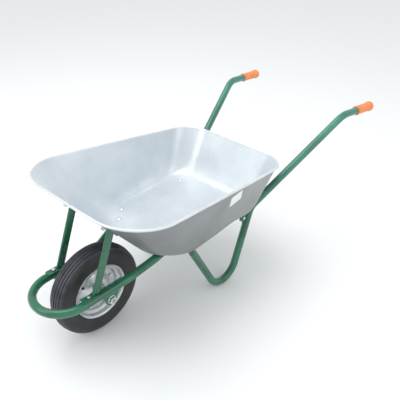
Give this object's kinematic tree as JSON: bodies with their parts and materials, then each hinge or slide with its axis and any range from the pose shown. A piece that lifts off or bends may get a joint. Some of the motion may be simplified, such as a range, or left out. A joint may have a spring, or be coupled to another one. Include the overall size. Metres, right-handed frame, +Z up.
{
  "type": "wheelbarrow",
  "caption": "Builder's wheelbarrow with a galvanised pressed tray on a green painted tube frame, one pneumatic wheel, bent tube legs and orange plastic hand grips.",
  "frame": {"origin": "on the ground under the middle of the whole barrow, standing on its wheel and both feet", "axes": "+X forward to the wheel, +Y to the left as seen by the person pushing, +Z up"},
  "size_m": [1.5578, 0.6712, 0.595],
  "materials": {
    "galvanised": "satin",
    "green_paint": "gloss",
    "orange_plastic": "matte",
    "zinc": "satin",
    "tyre_rubber": "matte",
    "tube_rubber": "matte",
    "bearing_steel": "polished",
    "brass": "satin",
    "cap_plastic": "matte",
    "label_film": "matte"
  },
  "bodies": {
    "frame": {"tray": "galvanised", "front_loop": "green_paint", "handle_left": "green_paint", "handle_right": "green_paint", "grip_left": "orange_plastic", "grip_right": "orange_plastic", "strut_left": "green_paint", "strut_right": "green_paint", "axle_plate_left": "green_paint", "axle_plate_right": "green_paint", "leg_plate_left": "green_paint", "leg_plate_right": "green_paint", "rear_support": "green_paint", "floor_bolts": "zinc", "floor_nuts": "zinc", "strut_top_bolts": "zinc", "strut_top_nuts": "zinc", "strut_foot_bolts": "zinc", "strut_foot_nuts": "zinc", "support_bolts": "zinc", "support_nuts": "zinc", "axle": "zinc", "axle_spacers": "zinc", "axle_nuts": "zinc", "bearing_cones": "bearing_steel", "label": "label_film"},
    "wheel": {"tyre": "tyre_rubber", "inner_tube": "tube_rubber", "rim_left": "zinc", "rim_right": "zinc", "hub": "zinc", "bearing_cups": "bearing_steel", "bearing_balls": "bearing_steel", "rim_bolts": "zinc", "rim_nuts": "zinc", "valve": "brass", "valve_cap": "cap_plastic"}
  },
  "joints": [
    {"name": "wheel_spin", "type": "hinge", "parent": "frame", "child": "wheel", "pos_m": [0.536, 0, 0.175], "axis": [0, 1, 0], "continuous": true}
  ]
}
